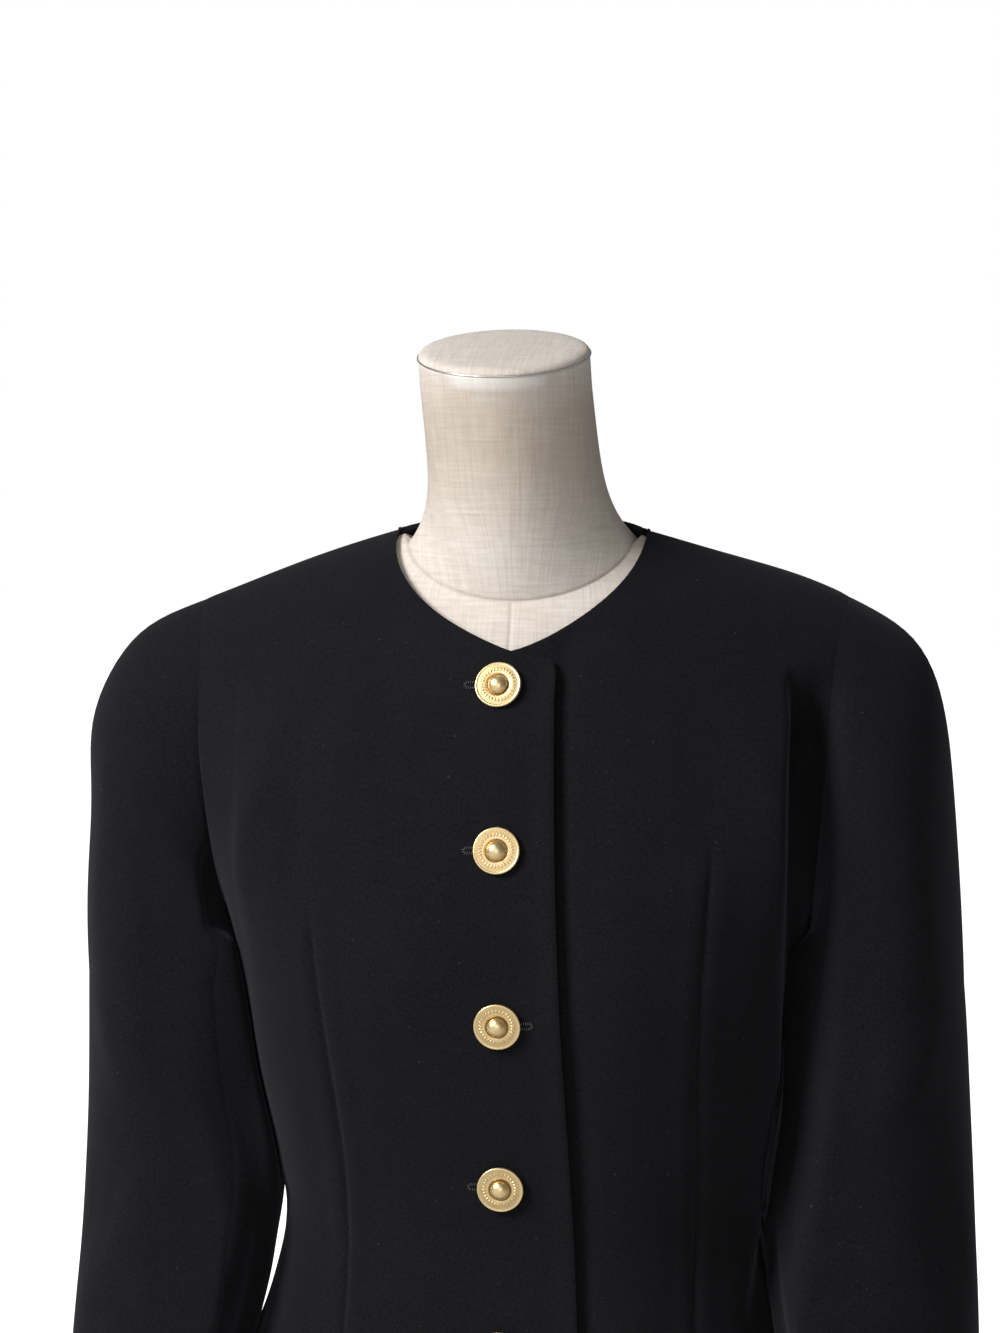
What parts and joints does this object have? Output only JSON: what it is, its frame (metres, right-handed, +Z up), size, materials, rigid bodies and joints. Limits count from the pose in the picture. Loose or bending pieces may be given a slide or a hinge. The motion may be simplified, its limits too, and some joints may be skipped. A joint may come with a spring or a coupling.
{
  "type": "collarless jacket on a limbless dress form",
  "caption": "Fitted collarless women's jacket in black wool crepe with padded shoulders and gold buttons, worn on a linen-covered limbless dress form with a stand.",
  "frame": {"origin": "on the floor, in the middle of the underside of the stand's round base", "axes": "+Z up the form, -Y towards the buttoned front, +X towards the wearer's left"},
  "size_m": [0.558, 0.3, 0.9271],
  "materials": {
    "wool": "matt wool crepe with a soft nap",
    "gilt": "satin gilt",
    "linen": "natural linen, slubbed plain weave",
    "steel": "satin stone-grey paint"
  },
  "bodies": {
    "root": {"right_front": "wool", "left_front": "wool", "back": "wool", "right_top_sleeve": "wool", "right_under_sleeve": "wool", "left_top_sleeve": "wool", "left_under_sleeve": "wool", "button_1": "gilt", "button_2": "gilt", "button_3": "gilt", "button_4": "gilt", "button_5": "gilt", "form_torso": "linen", "form_neck_cap": "linen", "form_stem": "steel", "form_base": "steel"}
  },
  "joints": []
}
